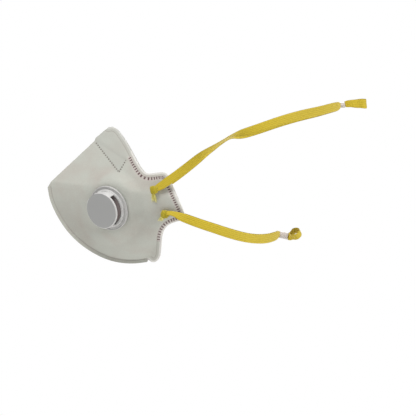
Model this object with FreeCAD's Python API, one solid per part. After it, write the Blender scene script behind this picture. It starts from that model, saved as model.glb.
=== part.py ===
# Disposable flat-fold dust mask with an exhalation valve and two head straps.
# Millimetres. +Z up, the wearer faces -X, the wearer's left side is -Y.
# The origin is the middle of the face opening, on the plane of symmetry.
import math
import os

import FreeCAD
import Part

os.makedirs("parts", exist_ok=True)
V = FreeCAD.Vector

# shell shape
cheek = V(48.0, 0.0, -2.0)      # middle of the rings that the side panel rises in
halfWidth = 70.0                # furthest the panel gets from the plane of symmetry
bulge = 1.8                     # how quickly it rises from the fold
seamWidth = 3.0                 # pressed band along the bottom
seamThick = 1.3

# soft dents in the panel: x, z, depth, how wide and how tall
dents = [(-1.0, -29.0, 2.2, 11.0, 12.0), (-4.6, 4.0, 0.8, 4.0, 15.0), (8.0, -3.0, 0.8, 9.0, 10.0),
         (-30.0, 44.0, -0.8, 9.5, 9.5)]

# outline of one side, seen along Y
noseTop = (-22.8, 62.0)
noseFront = (-34.0, 52.6)
noseStep = (-35.0, 49.9)
tip = (-74.1, 13.3)
seamPoints = [(-77.4, 7.9), (-75.6, -2.0), (-71.6, -12.4), (-61.7, -29.0), (-51.4, -40.4),
              (-34.8, -52.2), (-20.3, -58.4), (-4.9, -60.9), (4.0, -60.7), (12.4, -59.6)]
chinNotch = [(12.4, -59.6), (13.8, -57.4)]
chinCurve = [(13.8, -57.4), (17.0, -59.7), (21.8, -58.3), (24.4, -53.8)]
jawCurve = [(24.4, -53.8), (25.4, -44.0), (26.6, -35.0), (31.5, -27.2), (42.2, -22.2)]
tabTip = [(42.2, -22.2), (46.4, -19.6), (45.4, -13.2)]
tabRear = [(45.4, -13.2), (32.6, 16.4)]
tabTop = [(32.6, 16.4), (30.4, 20.0), (25.6, 21.3)]
rimCurve = [(25.6, 21.3), (19.2, 20.4), (12.4, 20.6), (7.6, 25.2), (3.4, 32.0),
            (-4.9, 47.4), (-12.6, 58.6)]
noseRound = [(-12.6, 58.6), (-15.6, 61.2), (-19.4, 62.6), (-22.8, 62.0)]

# layers, as offsets along Y from the outer face of the panel
coverLayer = (0.0, 0.5)
supportLayer = (0.6, 0.9)
filterLayer = (1.0, 1.5)
liningLayer = (1.6, 2.0)
clipLayer = (2.15, 3.25)
pocketLayer = (3.4, 3.8)
foamLayer = (3.95, 9.5)
weldInset = 4.4                 # the middle layers stop at the weld beside the edge
foamInset = 1.6                 # the nose foam stops nearer to the edge

# nose pieces, as strips beside the nose edge
clipLine = [(-33.0, 57.5), (-21.5, 45.5), (-13.0, 34.0), (-6.5, 24.0)]
clipWidth = 5.0
pocketWidth = 9.0
foamLine = [(-20.0, 66.0), (-12.5, 52.0), (-5.0, 39.5), (1.0, 29.0)]
foamWidth = 8.0

# valve
valveSpot = (-20.7, -10.6)
valveWay = V(-0.57, -0.77, -0.27)
flangeRadius = 20.6
neckRadius = 14.6
boreRadius = 13.2
capRadius = 17.6                # bright ring round the foot of the cap
capFoot = 1.6
ringTop = 3.3
faceRadius = 16.8
faceShift = 1.3                 # the face sits this far forward
faceLow = 9.4
faceHeight = 10.7
facets = [(134, 15.75), (98, 15.85)]   # flats on the cap: direction in degrees, distance from its middle
windowFrom = -56                # window in the cap's wall, in degrees from the rearmost point
windowTo = 64
flapRadius = 14.2
flapLow = 2.75                  # underside of the flap, above the flange's seat
flapTop = 3.1

# straps
upperHole = V(19.8, 0.0, 5.8)
lowerHole = V(29.6, 0.0, -16.0)
holeRadius = 2.1
strapThick = 1.0
# x, y of the route on the wearer's left, then z and half the height of the band
upperRoute = [(24.6, 68.4, 7.2, 3.4), (31.0, 70.3, 12.6, 4.6), (43.5, 72.6, 21.6, 4.4),
              (60.3, 74.4, 35.1, 4.1), (73.8, 75.4, 44.3, 3.6), (80.1, 75.7, 50.0, 1.9),
              (91.8, 76.0, 54.9, 2.2), (101.7, 75.6, 57.2, 3.5), (114.3, 74.0, 61.2, 4.1),
              (132.3, 68.6, 67.5, 4.2), (150.3, 58.0, 72.5, 4.2), (168.3, 41.0, 76.5, 4.1),
              (180.6, 20.0, 80.4, 3.9), (185.0, 0.0, 81.9, 3.7)]
lowerRoute = [(34.6, 70.6, -15.9, 2.5), (43.5, 72.4, -18.5, 3.4), (60.0, 72.6, -24.8, 4.4),
              (73.8, 70.6, -29.3, 4.5), (87.3, 65.4, -33.8, 4.5), (100.8, 56.6, -37.4, 4.3),
              (112.0, 45.0, -38.8, 4.1), (121.0, 31.0, -38.2, 4.0), (127.6, 15.0, -36.0, 3.6),
              (130.4, 0.0, -34.4, 3.3)]
upperTail = dict(start=V(185.6, 0, 82.0), way=V(1, 0, 0.03), tube=5.2, radius=2.3,
                 tail=19.0, half=3.9, travel=6.0)
lowerTail = dict(start=V(131.2, 0, -34.4), way=V(0.97, 0, -0.21), tube=8.2, radius=3.1,
                 tail=12.5, half=4.4, travel=4.0)


def flat(points):
    return [V(x, 0, z) for x, z in points]


def line(a, b):
    return Part.makeLine(V(a[0], 0, a[1]), V(b[0], 0, b[1]))


def curve(points):
    spline = Part.BSplineCurve()
    spline.interpolate(flat(points))
    return spline.toShape()


def prism(face, low, high):
    """The face, lying in the XZ plane, as a solid from y = low to y = high."""
    moved = face.copy()
    moved.translate(V(0, low, 0))
    return moved.extrude(V(0, high - low, 0))


# ---- outline and fold line
outlineEdges = [line(noseTop, noseFront), line(noseFront, noseStep), line(noseStep, tip),
                line(tip, seamPoints[0]), curve(seamPoints), line(*chinNotch), curve(chinCurve),
                curve(jawCurve), curve(tabTip), line(*tabRear), curve(tabTop), curve(rimCurve),
                curve(noseRound)]
outlineWire = Part.Wire(Part.__sortEdges__(outlineEdges))
outlineFace = Part.Face(outlineWire)

seamOuter = curve(seamPoints).discretize(60)
seamInner = []
for i, p in enumerate(seamOuter):
    a = seamOuter[max(i - 1, 0)]
    b = seamOuter[min(i + 1, len(seamOuter) - 1)]
    along = (b - a).normalize()
    seamInner.append(p + V(-along.z, 0, along.x).multiply(seamWidth))
if (seamInner[30] - cheek).Length > (seamOuter[30] - cheek).Length:
    seamInner = [p * 2 - q for p, q in zip(seamOuter, seamInner)]

foldWay = (V(noseTop[0], 0, noseTop[1]) - V(noseFront[0], 0, noseFront[1])).normalize()
foldLine = [V(noseTop[0], 0, noseTop[1]) + foldWay * 60] + flat([noseTop, noseFront, noseStep, tip])
keel = foldLine + [p for p in seamInner if p.z < 9.0] + [seamInner[-1] + V(140.0, 0, -92.0)]


def reach(angle):
    """Distance from the cheek point to the fold line, in this direction in the XZ plane."""
    d = V(math.cos(angle), 0, math.sin(angle))
    best = None
    for a, b in zip(keel, keel[1:]):
        e = b - a
        across = d.x * e.z - d.z * e.x
        if abs(across) < 1e-9:
            continue
        w = a - cheek
        t = (w.x * e.z - w.z * e.x) / across
        u = (w.x * d.z - w.z * d.x) / across
        if t > 0 and -1e-6 <= u <= 1 + 1e-6 and (best is None or t < best):
            best = t
    return best


def smooth(t):
    t = max(0.0, min(1.0, t))
    return t * t * (3 - 2 * t)


def risen(share):
    return halfWidth * (1 - share ** bulge) if share <= 1 else halfWidth * bulge * (1 - share)


def shareAt(x, z):
    d = V(x, 0, z) - cheek
    return d.Length / reach(math.atan2(d.z, d.x))


valveDepth = risen(shareAt(*valveSpot)) + 0.6
valveSlopeX = valveWay.x / valveWay.y
valveSlopeZ = valveWay.z / valveWay.y


def halfAt(x, z, share):
    """Distance of the outer face from the plane of symmetry."""
    y = risen(share)
    dx = x - valveSpot[0]
    dz = z - valveSpot[1]
    keep = 1 - smooth((math.hypot(dx * 1.12, dz) - 19.0) / 17.0)
    y += keep * (valveDepth + valveSlopeX * dx + valveSlopeZ * dz - y)
    for dentX, dentZ, depth, wide, tall in dents:
        y -= depth * math.exp(-((x - dentX) / wide) ** 2 - ((z - dentZ) / tall) ** 2)
    return y


# ---- the side panel as one curved face
tipAngle = math.atan2(tip[1] - cheek.z, tip[0] - cheek.x) % (2 * math.pi)
angles = [math.radians(a) for a in range(112, 284, 4)]
angles = sorted([a for a in angles if abs(a - tipAngle) > math.radians(1.6)] + [tipAngle])
shares = [0.05 + 0.0485 * i for i in range(21)]
grid = []
for a in angles:
    far = reach(a)
    row = []
    for s in shares:
        x = cheek.x + far * s * math.cos(a)
        z = cheek.z + far * s * math.sin(a)
        row.append(V(x, -halfAt(x, z, s), z))
    grid.append(row)
panel = Part.BSplineSurface()
panel.interpolate(grid)
panelFace = panel.toShape()
half = Part.makeBox(300, 200, 300, V(-150, -200, -150))


def layer(offsets, region):
    """Both halves of one layer of the shell, over a region of the XZ plane."""
    near, far = offsets
    sheet = panelFace.copy()
    sheet.translate(V(0, near, 0))
    left = sheet.extrude(V(0, far - near, 0)).common(prism(region, -100, 30)).common(half)
    left = Part.makeCompound(left.Solids) if len(left.Solids) > 1 else left.Solids[0]
    right = left.mirror(V(0, 0, 0), V(0, 1, 0))
    return left.fuse(right).removeSplitter()


def one(shape, name):
    """The shape as one closed solid, or the run stops."""
    if len(shape.Solids) != 1:
        print(name, "solids", [round(s.Volume, 2) for s in shape.Solids])
    solid = max(shape.Solids, key=lambda s: s.Volume)
    if not solid.isValid():
        solid.fix(1e-4, 1e-4, 1e-3)
    print(name, "valid", solid.isValid(), "volume", round(solid.Volume, 1))
    return solid


def save(shape, name):
    solid = one(shape, name)
    solid.exportStep("parts/" + name + ".step")
    return solid


def strip(points, width):
    """A strip of this width about a line through the points, as a face in the XZ plane."""
    left = []
    right = []
    for i, (x, z) in enumerate(points):
        a = points[max(i - 1, 0)]
        b = points[min(i + 1, len(points) - 1)]
        n = math.hypot(b[0] - a[0], b[1] - a[1])
        nx = -(b[1] - a[1]) / n * width / 2
        nz = (b[0] - a[0]) / n * width / 2
        left.append((x + nx, z + nz))
        right.append((x - nx, z - nz))
    edges = [curve(left), line(left[-1], right[-1]), curve(right), line(right[0], left[0])]
    return Part.Face(Part.Wire(Part.__sortEdges__(edges)))


# ---- valve frame
outward = V(valveWay).normalize()
valveAt = V(valveSpot[0], -valveDepth, valveSpot[1])
rearward = (V(1, 0, 0) - outward * outward.x).normalize()
upward = rearward.cross(outward)
if upward.z < 0:
    upward = upward * -1
valvePlace = FreeCAD.Placement(valveAt, FreeCAD.Rotation(rearward, upward, outward, "ZXY"))


def spun(points):
    """A solid turned about the valve's axis, from (radius, height) points."""
    wire = Part.makePolygon([V(r, 0, h) for r, h in points + [points[0]]])
    return Part.Face(wire).revolve(V(0, 0, 0), V(0, 0, 1), 360)


def ring(inner, outer, low, high):
    tube = Part.makeCylinder(outer, high - low, V(0, 0, low))
    if inner > 0:
        tube = tube.cut(Part.makeCylinder(inner, high - low + 2, V(0, 0, low - 1)))
    return tube


def placed(shape):
    shape = shape.copy()
    shape.Placement = valvePlace.multiply(shape.Placement)
    return shape


# ---- shell layers
valveHole = placed(Part.makeCylinder(neckRadius + 0.3, 40, V(0, 0, -20)))


def strapHoles(shape, radius):
    for at in (upperHole, lowerHole):
        shape = shape.cut(Part.makeCylinder(radius, 240, V(at.x, -120, at.z), V(0, 1, 0)))
    return shape


rear = chinCurve + jawCurve[1:] + tabTip[1:] + tabRear[1:] + tabTop[1:] + rimCurve[1:] + noseRound[1:]
rearLine = Part.makePolygon(flat(rear))
rearEdge = rearLine.discretize(100)
front = flat([(-23.0, 64.0), (-90, 14), (-80, -40), (-20, -70), (14, -70)])


def insetRegion(distance):
    """The outline without a margin of this width along the rear edge."""
    inset = []
    for i, p in enumerate(rearEdge):
        along = (rearEdge[min(i + 2, 99)] - rearEdge[max(i - 2, 0)]).normalize()
        moved = p + V(-along.z, 0, along.x) * distance
        if rearLine.distToShape(Part.Vertex(moved))[0] > distance * 0.97:
            inset.append(moved)
    region = Part.Face(Part.makePolygon(inset + front + [inset[0]])).common(outlineFace)
    return max(region.Faces, key=lambda f: f.Area)


innerRegion = insetRegion(weldInset)
foamRegion = insetRegion(foamInset)


def seamStrip(depth, beyond):
    """The seam with a margin of this depth inside it, and beyond it, as a face in the XZ plane."""
    inner = [p + (cheek - p).normalize() * depth for p in reversed(seamInner)]
    outer = [p - (cheek - p).normalize() * beyond for p in seamOuter]
    return Part.Face(Part.makePolygon(outer + inner + [outer[0]]))


band = prism(seamStrip(1.0, 0.0).common(outlineFace), -seamThick / 2, seamThick / 2)

cover = layer(coverLayer, outlineFace)
cover = cover.fuse(band).cut(valveHole)
cover = strapHoles(cover, holeRadius)
save(cover, "outer_cover")
for name, offsets, region, hole in (("support_layer", supportLayer, innerRegion, 2.5),
                                    ("filter_layer", filterLayer, innerRegion, 2.5),
                                    ("inner_lining", liningLayer, outlineFace, holeRadius)):
    region = region.cut(seamStrip(offsets[1] / 1.05 + 0.3, 5.0))
    region = max(region.Faces, key=lambda f: f.Area)
    save(strapHoles(layer(offsets, region).cut(valveHole), hole), name)

# ---- nose pieces
for name, offsets, middle, width in (("nose_clip", clipLayer, clipLine, clipWidth),
                                     ("nose_pocket", pocketLayer, clipLine, pocketWidth),
                                     ("nose_foam", foamLayer, foamLine, foamWidth)):
    region = strip(middle, width).common(foamRegion if name == "nose_foam" else innerRegion)
    save(layer(offsets, region.Faces[0]), name)

# ---- valve
base = ring(neckRadius - 1.4, flangeRadius, 0.3, 1.5)
base = base.fuse(spun([(19.4, 1.5), (19.8, 2.1), (20.3, 2.1), (flangeRadius, 1.5)]))
base = base.fuse(ring(boreRadius, neckRadius, -5.2, 1.5))
base = base.fuse(ring(boreRadius, boreRadius + 1.0, 1.5, 2.4))
for i in range(3):
    spoke = Part.makeBox(2 * boreRadius + 1, 1.2, 1.6, V(-boreRadius - 0.5, -0.6, -0.4))
    spoke.rotate(V(0, 0, 0), V(0, 0, 1), 60 * i)
    base = base.fuse(spoke)
base = base.fuse(ring(0, 2.6, -0.4, 1.2))
base = base.fuse(Part.makeBox(1.3, 6.8, 0.9, V(-15.3, -3.4, 1.5)))
save(placed(base), "valve_base")
save(placed(ring(neckRadius + 0.25, 20.0, -5.2, -3.6)), "valve_retainer")
save(placed(ring(0, flapRadius, flapLow, flapTop)), "valve_flap")
save(placed(Part.makeBox(0.7, 6.6, 1.2, V(-15.25, -3.3, 2.45))), "flap_clamp")


def circleAt(radius, shift, height):
    return Part.Wire(Part.makeCircle(radius, V(-shift, 0, height)))


foot = spun([(16.4, capFoot), (capRadius - 0.2, capFoot), (capRadius, capFoot + 0.3),
             (capRadius - 0.2, ringTop - 0.3), (capRadius - 0.6, ringTop), (16.4, ringTop)])
outerWall = Part.makeLoft([circleAt(16.9, 0, 2.6), circleAt(16.4, faceShift, faceLow)], True)
innerWall = Part.makeLoft([circleAt(15.9, 0, 0.0), circleAt(15.4, faceShift, faceLow)], True)
plate = Part.makeLoft([circleAt(faceRadius, faceShift, faceLow),
                       circleAt(faceRadius, faceShift, faceHeight - 0.8),
                       circleAt(faceRadius - 0.8, faceShift, faceHeight)], True, True)
window = Part.makeCylinder(30, faceLow - ringTop - 0.5, V(0, 0, ringTop + 0.1), V(0, 0, 1),
                           windowTo - windowFrom)
window.rotate(V(0, 0, 0), V(0, 0, 1), windowFrom)
cap = foot.fuse(outerWall.cut(innerWall))
cap = cap.cut(Part.makeCylinder(15.9, ringTop, V(0, 0, 0)))
cap = cap.cut(window).fuse(plate)
for turn, out in facets:
    chord = Part.makeBox(10, 60, 10, V(out, -30, 4.4))
    chord.rotate(V(0, 0, 0), V(0, 0, 1), turn)
    chord.translate(V(-faceShift, 0, 0))
    cap = cap.cut(chord)
cap = cap.removeSplitter()
save(placed(cap), "valve_cover")


# ---- straps
def tangentPath(points):
    """Straight runs joined by tangent arcs, as ('line', a, b) and ('arc', middle, a, b)."""
    parts = []
    at = points[0]
    for a, b, c in zip(points, points[1:], points[2:]):
        before = (b - a).normalize()
        after = (c - b).normalize()
        turn = before.getAngle(after)
        if turn < 1e-4:
            continue
        cut = 0.45 * min((b - a).Length, (c - b).Length)
        radius = cut / math.tan(turn / 2)
        start = b - before * cut
        end = b + after * cut
        inward = (after - before).normalize()
        middle = b + inward * math.hypot(radius, cut)
        parts.append(("line", at, start))
        parts.append(("arc", middle, start, end, radius))
        at = end
    parts.append(("line", at, points[-1]))
    return parts


def shifted(parts, offset):
    """The path moved sideways in plan, as edges in order."""
    edges = []
    for part in parts:
        if part[0] == "line":
            way = (part[2] - part[1]).normalize()
            move = V(-way.y, way.x, 0) * offset
            edges.append(Part.makeLine(part[1] + move, part[2] + move))
        else:
            middle, start, end, radius = part[1:]
            a = start - middle
            side = (end - start).cross(a).z
            grow = offset if side > 0 else -offset
            grow = -grow
            r = radius + grow
            p = middle + (start - middle).normalize() * r
            q = middle + (end - middle).normalize() * r
            m = middle + ((start + end) * 0.5 - middle).normalize() * r
            edges.append(Part.Arc(p, m, q).toShape())
    return edges


def ribbon(path, thick, upper, lower, name):
    """An upright band along a plan route, its edges given in side view."""
    parts = tangentPath(path)
    radii = [round(p[4], 1) for p in parts if p[0] == "arc"]
    left = shifted(parts, thick / 2)
    right = shifted(parts, -thick / 2)
    ends = [Part.makeLine(left[0].Vertexes[0].Point, right[0].Vertexes[0].Point),
            Part.makeLine(left[-1].Vertexes[-1].Point, right[-1].Vertexes[-1].Point)]
    wire = Part.Wire(Part.__sortEdges__(left + right + ends))
    wallSolid = Part.Face(wire).extrude(V(0, 0, 400))
    wallSolid.translate(V(0, 0, -200))
    edges = [curve(upper), line(upper[-1], lower[-1]), curve(lower), line(lower[0], upper[0])]
    side = prism(Part.Face(Part.Wire(Part.__sortEdges__(edges))), -150, 150)
    shape = wallSolid.common(side)
    length = sum(e.Length for e in shifted(parts, 0))
    print(name, "arc radii", min(radii), "to", max(radii), "plan length", round(length, 1))
    return shape, length


def strapBand(route, hole, tail, name):
    """A band from one hole round the back of the head to the other, with its gathered core."""
    plan = [V(x, -y, 0) for x, y, z, h in route]
    plan = plan + [V(p.x, -p.y, 0) for p in reversed(plan[:-1])]
    top = [(x, z + h) for x, y, z, h in route]
    low = [(x, z - h) for x, y, z, h in route]
    last = route[-1]
    top.append((last[0] + 6, last[2] + last[3]))
    low.append((last[0] + 6, last[2] - last[3]))
    top.insert(0, (route[0][0] - 3, route[0][2] + route[0][3] - 0.8))
    low.insert(0, (route[0][0] - 3, route[0][2] - route[0][3] + 0.2))
    shape, length = ribbon(plan, strapThick, top, low, name)
    heights = [2 * h for x, y, z, h in route]
    mean = sum(heights) / len(heights)
    way = V(tail["way"]).normalize()
    start = tail["start"] - way * 2.0
    core = Part.makeCylinder(1.0, tail["tube"] + tail["travel"] + 3.0, start, way)
    print(name, "volume over height x thickness x length",
          round(shape.Volume / (mean * strapThick * length), 3))
    return shape.fuse(core)


def tailLoop(tail, name):
    """The doubled free end of a band behind its adjuster."""
    way = V(tail["way"]).normalize()
    x0 = tail["start"].x + way.x * (tail["tube"] + 0.9) + tail["radius"] * abs(way.z)
    x1 = x0 + tail["tail"]
    plan = [V(x0, -1.8, 0), V(x0 + 3.0, -2.6, 0), V(x1 - 5.0, -2.4, 0), V(x1 - 0.6, -2.0, 0),
            V(x1 - 0.6, 2.0, 0), V(x1 - 5.0, 2.4, 0), V(x0 + 3.0, 2.6, 0), V(x0, 1.8, 0)]
    rise = way.z / way.x
    z0 = tail["start"].z + rise * (x0 - tail["start"].x)
    stations = (0.0, 0.2, 0.5, 0.8, 1.1)
    wave = (0.0, 0.5, 0.1, 1.1, 1.6)
    size = (0.55, 0.95, 1.0, 1.0, 1.0)
    span = tail["tail"]
    middle = [(x0 + s * span, z0 + rise * s * span + w) for s, w in zip(stations, wave)]
    top = [(x, z + tail["half"] * k) for (x, z), k in zip(middle, size)]
    low = [(x, z - tail["half"] * k) for (x, z), k in zip(middle, size)]
    top[0] = (x0 - 0.5, top[0][1])
    low[0] = (x0 - 0.5, low[0][1])
    shape, length = ribbon(plan, strapThick, top, low, name)
    return shape


def adjuster(tail):
    way = V(tail["way"]).normalize()
    at = tail["start"] + way * 0.5
    outer = Part.makeCylinder(tail["radius"], tail["tube"], at, way)
    outer = outer.makeFillet(0.35, [e for e in outer.Edges if e.Curve.TypeId == "Part::GeomCircle"])
    return outer.cut(Part.makeCylinder(1.35, tail["tube"] + 4, at - way * 2, way))


def knot(hole, side):
    """A knuckle outside the tab, a neck through the hole and a stopper inside it."""
    surface = halfAt(hole.x, hole.z, shareAt(hole.x, hole.z))
    out = surface + 2.1
    inn = surface - 4.6
    points = [(0, inn - 2.9), (2.2, inn - 2.6), (3.4, inn - 1.4), (3.2, inn - 0.4),
              (1.6, inn), (1.6, out - 0.4), (3.3, out), (4.0, out + 1.3), (3.7, out + 2.9),
              (2.4, out + 3.9), (0, out + 4.2)]
    wire = Part.makePolygon([V(r, h, 0) for r, h in points + [points[0]]])
    solid = Part.Face(wire).revolve(V(0, 0, 0), V(0, 1, 0), 360)
    if side < 0:
        solid = solid.mirror(V(0, 0, 0), V(0, 1, 0))
    solid.translate(V(hole.x, 0, hole.z))
    return solid


for level, route, hole, tail in (("upper", upperRoute, upperHole, upperTail),
                                 ("lower", lowerRoute, lowerHole, lowerTail)):
    save(strapBand(route, hole, tail, level + "_strap"), level + "_strap")
    save(tailLoop(tail, level + "_strap_loop"), level + "_strap_loop")
    save(adjuster(tail), level + "_adjuster")
    save(knot(hole, -1), level + "_knot_left")
    save(knot(hole, 1), level + "_knot_right")
hinge = valveAt - rearward * flapRadius + outward * flapLow
print("flap hinge at", [round(c, 3) for c in hinge], "axis", [round(-c, 4) for c in upward])
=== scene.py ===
import math
import random

import bmesh
import bpy
import numpy as np
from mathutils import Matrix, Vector
from mathutils.geometry import delaunay_2d_cdt


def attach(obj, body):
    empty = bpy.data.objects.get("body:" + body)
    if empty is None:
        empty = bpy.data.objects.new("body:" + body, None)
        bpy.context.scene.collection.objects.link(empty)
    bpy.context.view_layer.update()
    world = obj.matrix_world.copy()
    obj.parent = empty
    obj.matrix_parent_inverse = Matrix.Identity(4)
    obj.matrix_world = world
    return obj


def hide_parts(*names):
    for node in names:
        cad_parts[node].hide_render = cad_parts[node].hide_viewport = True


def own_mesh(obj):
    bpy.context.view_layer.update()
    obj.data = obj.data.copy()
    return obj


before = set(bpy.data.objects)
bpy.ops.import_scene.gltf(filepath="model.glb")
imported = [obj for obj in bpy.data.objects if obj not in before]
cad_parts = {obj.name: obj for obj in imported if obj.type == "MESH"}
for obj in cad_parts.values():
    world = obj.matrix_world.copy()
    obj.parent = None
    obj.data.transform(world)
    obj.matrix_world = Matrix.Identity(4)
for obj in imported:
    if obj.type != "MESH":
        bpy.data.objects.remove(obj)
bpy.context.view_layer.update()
scene = bpy.context.scene
mm = 0.001
print("frame loaded")

# camera, level with the mask and square to the wearer's left side
view = {"aimX": 0.0675, "aimZ": -0.0108, "seenWidth": 0.3744, "distance": 5.0, "depth": -0.020}
cameraData = bpy.data.cameras.new("sideCamera")
cameraData.sensor_width = 36
cameraData.lens = 36 * view["distance"] / view["seenWidth"]
camera = bpy.data.objects.new("sideCamera", cameraData)
camera.location = (view["aimX"], view["depth"] - view["distance"], view["aimZ"])
camera.rotation_euler = (math.radians(90), 0, 0)
scene.collection.objects.link(camera)
scene.camera = camera


# node helpers
def link(tree, a, b):
    tree.links.new(a, b)


def addNode(tree, kind, **values):
    node = tree.nodes.new(kind)
    for key, value in values.items():
        setattr(node, key, value)
    return node


# a number or a colour is set on the socket, a name is read from the mesh, anything else is linked
def feed(tree, socket, value):
    if isinstance(value, str):
        value = addNode(tree, "ShaderNodeAttribute", attribute_name=value).outputs["Fac"]
    if isinstance(value, (int, float)):
        socket.default_value = value
    elif isinstance(value, tuple):
        socket.default_value = value + (1.0,) if len(value) == 3 else value
    else:
        link(tree, value, socket)


def calc(tree, how, a, b=0.0, clamp=False):
    node = addNode(tree, "ShaderNodeMath", operation=how, use_clamp=clamp)
    feed(tree, node.inputs[0], a)
    feed(tree, node.inputs[1], b)
    return node.outputs[0]


def plus(tree, a, b, clamp=False):
    return calc(tree, "ADD", a, b, clamp)


def minus(tree, a, b, clamp=False):
    return calc(tree, "SUBTRACT", a, b, clamp)


def times(tree, a, b, clamp=False):
    return calc(tree, "MULTIPLY", a, b, clamp)


def mixColour(tree, share, a, b, how="MIX"):
    node = addNode(tree, "ShaderNodeMix", data_type="RGBA", blend_type=how)
    for place, value in ((0, share), (6, a), (7, b)):
        feed(tree, node.inputs[place], value)
    return node.outputs[2]


# the colour made lighter or darker by a number
def shaded(tree, colour, tone):
    grey = addNode(tree, "ShaderNodeCombineColor")
    for socket in grey.inputs:
        link(tree, tone, socket)
    return mixColour(tree, 1.0, colour, grey.outputs[0], "MULTIPLY")


def texture(tree, kind, inputs, **values):
    node = addNode(tree, "ShaderNodeTex" + kind, **values)
    link(tree, addNode(tree, "ShaderNodeTexCoord").outputs["Object"], node.inputs["Vector"])
    for label, value in inputs.items():
        feed(tree, node.inputs[label], value)
    return node.outputs


def newGroup(name, inputs, colours, numbers):
    tree = bpy.data.node_groups.new(name, "ShaderNodeTree")
    for label, value in inputs.items():
        kind = "NodeSocketColor" if isinstance(value, tuple) else "NodeSocketFloat"
        tree.interface.new_socket(label, in_out="INPUT", socket_type=kind).default_value = value
    for labels, kind in ((colours, "NodeSocketColor"), (numbers, "NodeSocketFloat")):
        for label in labels:
            tree.interface.new_socket(label, in_out="OUTPUT", socket_type=kind)
    return tree, addNode(tree, "NodeGroupInput").outputs, addNode(tree, "NodeGroupOutput").inputs


def placeGroup(tree, group, **values):
    node = addNode(tree, "ShaderNodeGroup", node_tree=group)
    for key, value in values.items():
        label = "".join(" " + c if c.isupper() else c for c in key).strip().capitalize()
        feed(tree, node.inputs[label], value)
    return node.outputs


def toLinear(r, g, b):
    return tuple(((c / 255 + 0.055) / 1.055) ** 2.4 if c > 10 else c / 255 / 12.92 for c in (r, g, b))


# soft blotches and fine fibres of a pressed felt
def buildFelt():
    tree, given, result = newGroup(
        "pressedFelt", {"Colour": (0.6, 0.6, 0.55, 1), "Stain": (0.5, 0.45, 0.4, 1), "Fibre size": 900.0,
                        "Blotch": 0.12, "Point pitch": 700.0}, ["Colour"], ["Height", "Roughness"])
    blotch = texture(tree, "Noise", {"Scale": 45, "Detail": 5})[0]
    fibre = texture(tree, "Noise", {"Scale": given["Fibre size"], "Detail": 6, "Distortion": 1.6})[0]
    strand = texture(tree, "Wave", {"Scale": times(tree, given["Fibre size"], 0.35), "Distortion": 14,
                                    "Detail": 4, "Detail Scale": 2.2},
                     wave_type="BANDS", bands_direction="DIAGONAL")["Fac"]
    bond = texture(tree, "Voronoi", {"Scale": given["Point pitch"], "Randomness": 0.35},
                   feature="DISTANCE_TO_EDGE")["Distance"]
    pit = addNode(tree, "ShaderNodeMath", operation="SMOOTH_MIN")
    for socket, value in zip(pit.inputs, (times(tree, bond, 3.0), 1.0, 0.2)):
        feed(tree, socket, value)
    threads = plus(tree, times(tree, fibre, 0.6), times(tree, strand, 0.25))
    spread = times(tree, minus(tree, blotch, 0.42), given["Blotch"])
    stained = mixColour(tree, times(tree, spread, 4.0, clamp=True), given["Colour"], given["Stain"])
    link(tree, shaded(tree, stained, plus(tree, 0.86, times(tree, threads, 0.28))), result["Colour"])
    link(tree, plus(tree, threads, times(tree, pit.outputs[0], 0.22)), result["Height"])
    link(tree, plus(tree, 0.82, times(tree, fibre, 0.14)), result["Roughness"])
    return tree


# a row of pressed marks beside a line, from the distances stored on the mesh
def buildMarks():
    tree, given, result = newGroup(
        "weldMarks", {"Along": 0.0, "Away": 0.0, "Pitch": 2.2, "Share": 0.42, "Near": 2.7, "Far": 4.7,
                      "First": 0.0, "Last": 1000.0, "Soft": 0.25}, [], ["Mark"])

    def within(distance):
        return plus(tree, calc(tree, "DIVIDE", distance, given["Soft"]), 0.5, clamp=True)

    phase = calc(tree, "FRACT", calc(tree, "DIVIDE", given["Along"], given["Pitch"]))
    offset = calc(tree, "ABSOLUTE", minus(tree, phase, 0.5))
    inDash = within(times(tree, minus(tree, times(tree, given["Share"], 0.5), offset), given["Pitch"]))
    above = within(minus(tree, given["Away"], given["Near"]))
    below = within(minus(tree, given["Far"], given["Away"]))
    begun = calc(tree, "GREATER_THAN", given["Along"], given["First"])
    ended = calc(tree, "LESS_THAN", given["Along"], given["Last"])
    mark = times(tree, times(tree, above, below), times(tree, inDash, times(tree, begun, ended)))
    link(tree, mark, result["Mark"])
    return tree


# ribs and stitches of a narrow woven elastic
def buildElastic():
    tree, given, result = newGroup(
        "ribbedElastic", {"Along": 0.0, "Across": 0.0, "Colour": (0.6, 0.5, 0.05, 1),
                          "Groove": (0.3, 0.2, 0.01, 1), "Ribs": 4.0, "Stitch": 0.85},
        ["Colour"], ["Height", "Roughness"])
    turn = 2 * math.pi
    ribPlace = times(tree, given["Across"], given["Ribs"])
    rib = times(tree, plus(tree, calc(tree, "COSINE", times(tree, ribPlace, turn)), 1.0), 0.5)
    arch = calc(tree, "ABSOLUTE", calc(tree, "SINE", times(tree, ribPlace, math.pi)))
    slant = plus(tree, calc(tree, "DIVIDE", given["Along"], given["Stitch"]), times(tree, arch, 0.6))
    stitch = times(tree, plus(tree, calc(tree, "SINE", times(tree, slant, turn)), 1.0), 0.5)
    lint = texture(tree, "Noise", {"Scale": 1500, "Detail": 4})[0]
    fade = texture(tree, "Noise", {"Scale": 60})[0]
    raised = plus(tree, times(tree, rib, 0.7), times(tree, stitch, 0.14))
    depth = times(tree, minus(tree, 0.95, raised, clamp=True), plus(tree, 0.22, times(tree, fade, 0.4)))
    link(tree, mixColour(tree, depth, given["Colour"], given["Groove"]), result["Colour"])
    fluff = plus(tree, times(tree, stitch, 0.12), times(tree, lint, 0.12))
    link(tree, plus(tree, times(tree, rib, 0.55), fluff), result["Height"])
    link(tree, plus(tree, 0.55, times(tree, lint, 0.3)), result["Roughness"])
    return tree


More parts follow.
